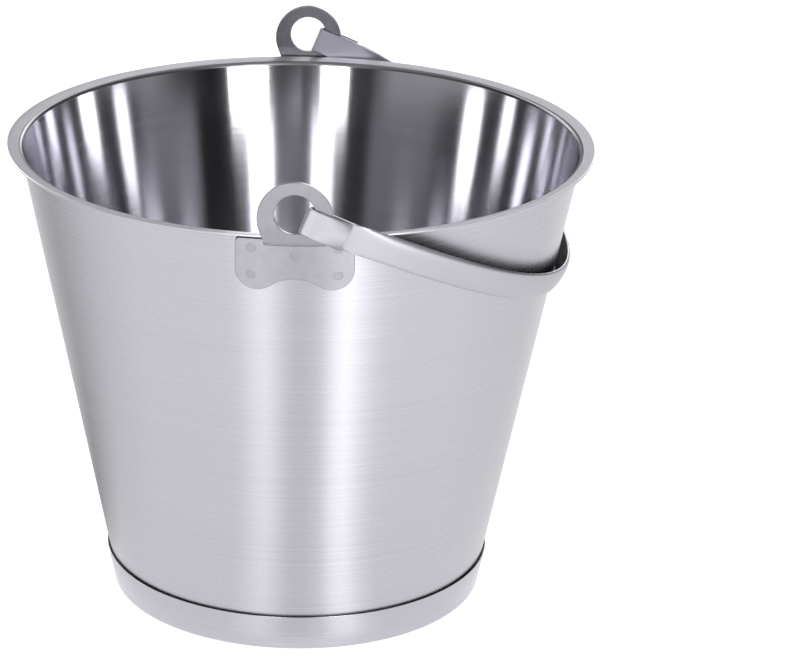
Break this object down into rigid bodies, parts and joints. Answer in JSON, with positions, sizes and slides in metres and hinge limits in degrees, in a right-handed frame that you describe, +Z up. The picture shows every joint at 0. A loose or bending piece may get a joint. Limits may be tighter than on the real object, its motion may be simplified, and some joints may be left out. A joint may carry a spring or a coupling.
{
  "type": "milk pail",
  "caption": "Tapered round steel pail with a turned-out rim, a pressed standing foot, two ring ears and a swinging strap bail.",
  "frame": {"origin": "centre of the pail's foot, on the ground it stands on", "axes": "+Z up along the pail's axis, Y through the two ears along the bail's hinge line, +X towards the side that the bail hangs on"},
  "size_m": [0.315, 0.3266, 0.2833],
  "materials": {
    "body_steel": "brushed round the outside, polished inside",
    "foot_steel": "satin",
    "ear_steel": "matte",
    "weld_mark": "matte, slightly darkened",
    "bail_steel": "polished"
  },
  "bodies": {
    "pail": {"pail_body": "body_steel", "foot_base": "foot_steel", "ear_front": "ear_steel", "ear_back": "ear_steel", "weld_front_upper_left": "weld_mark", "weld_front_upper_right": "weld_mark", "weld_front_middle": "weld_mark", "weld_front_lower_left": "weld_mark", "weld_front_lower_right": "weld_mark", "weld_back_upper_left": "weld_mark", "weld_back_upper_right": "weld_mark", "weld_back_middle": "weld_mark", "weld_back_lower_left": "weld_mark", "weld_back_lower_right": "weld_mark"},
    "bail": {"bail_handle": "bail_steel"}
  },
  "joints": [
    {"name": "bail_swing", "type": "hinge", "parent": "pail", "child": "bail", "pos_m": [0, 0, 0.2666], "axis": [0, -1, 0], "range_deg": [0, 226]}
  ]
}
